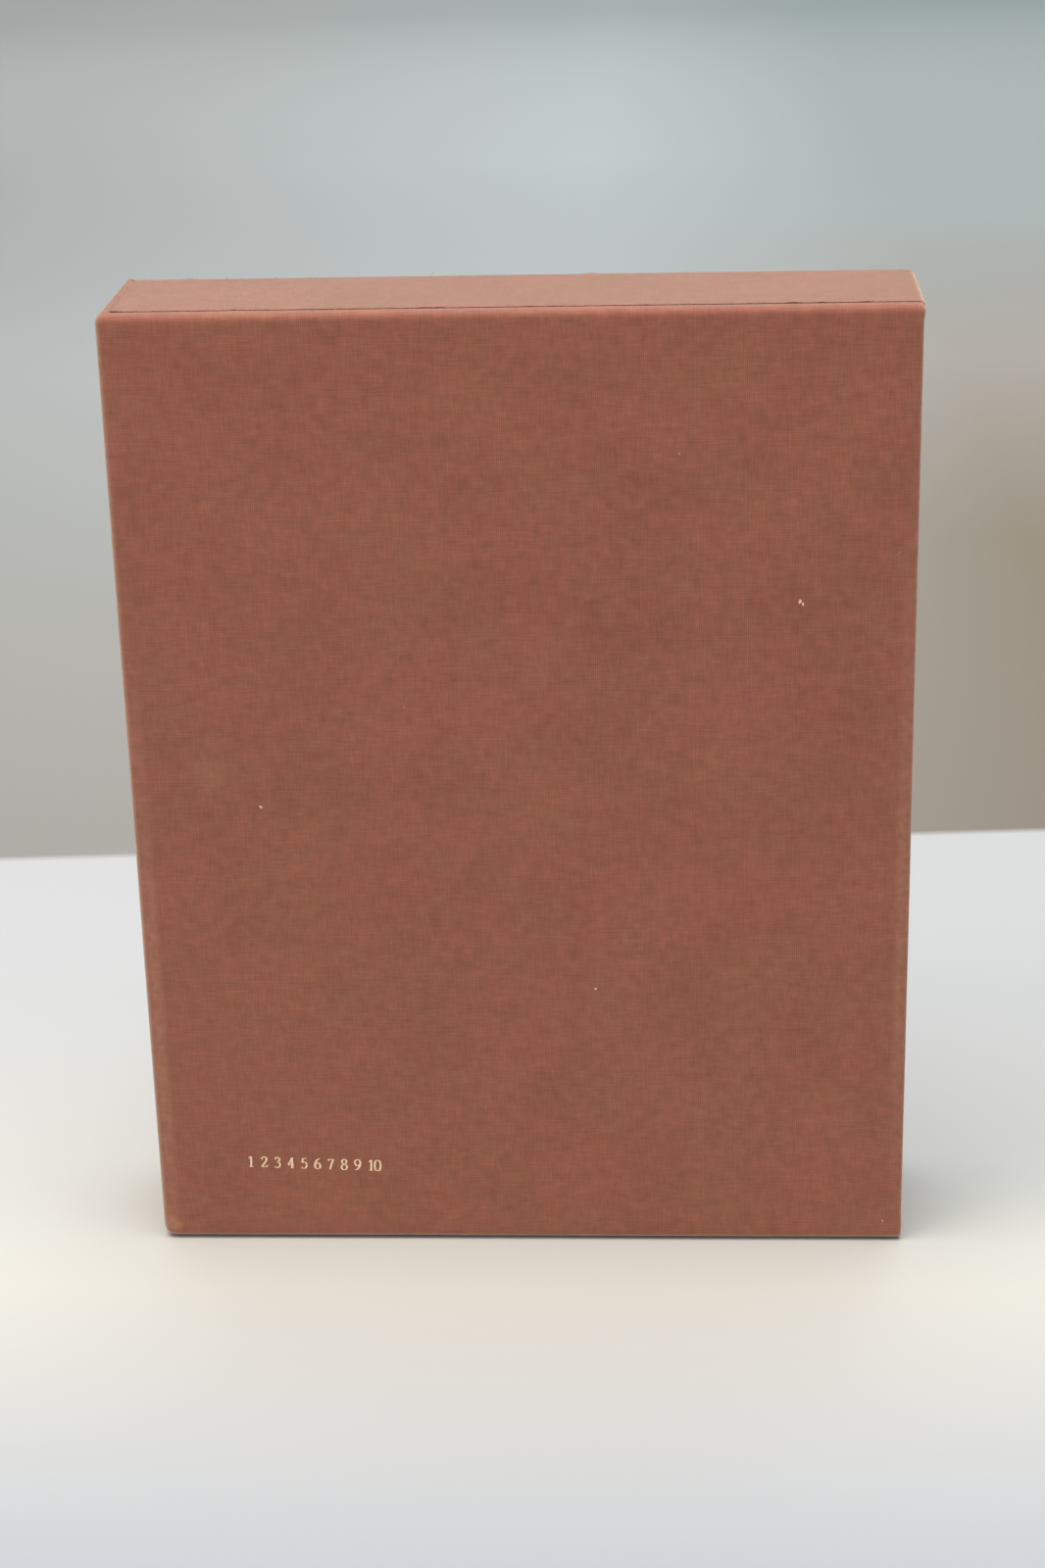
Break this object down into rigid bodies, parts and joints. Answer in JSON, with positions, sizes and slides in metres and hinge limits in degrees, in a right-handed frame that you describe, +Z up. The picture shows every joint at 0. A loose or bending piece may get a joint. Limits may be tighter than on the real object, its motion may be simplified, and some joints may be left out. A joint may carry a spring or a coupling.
{
  "type": "book slipcase",
  "caption": "Upright book slipcase of paper-lined boards covered in woven cloth, closed at the head, tail and one edge, open at the other for a large hardback book.",
  "frame": {"origin": "middle of the ground that the case covers, standing on its tail", "axes": "+Z up to the head, +X from the closed edge to the mouth, +Y from the front side to the back side"},
  "size_m": [0.1968, 0.0426, 0.2507],
  "materials": {
    "book_cloth": "matt plain weave",
    "binders_board": "matt grey board",
    "lining_paper": "matt uncoated",
    "gummed_paper": "matt kraft"
  },
  "bodies": {
    "root": {"front_board": "binders_board", "back_board": "binders_board", "closed_edge_board": "binders_board", "head_board": "binders_board", "tail_board": "binders_board", "front_lining": "lining_paper", "back_lining": "lining_paper", "closed_edge_lining": "lining_paper", "head_lining": "lining_paper", "tail_lining": "lining_paper", "front_closed_stay": "gummed_paper", "back_closed_stay": "gummed_paper", "front_head_stay": "gummed_paper", "back_head_stay": "gummed_paper", "front_tail_stay": "gummed_paper", "back_tail_stay": "gummed_paper", "closed_head_stay": "gummed_paper", "closed_tail_stay": "gummed_paper", "side_wrap": "book_cloth", "head_strip": "book_cloth", "tail_strip": "book_cloth"}
  },
  "joints": []
}
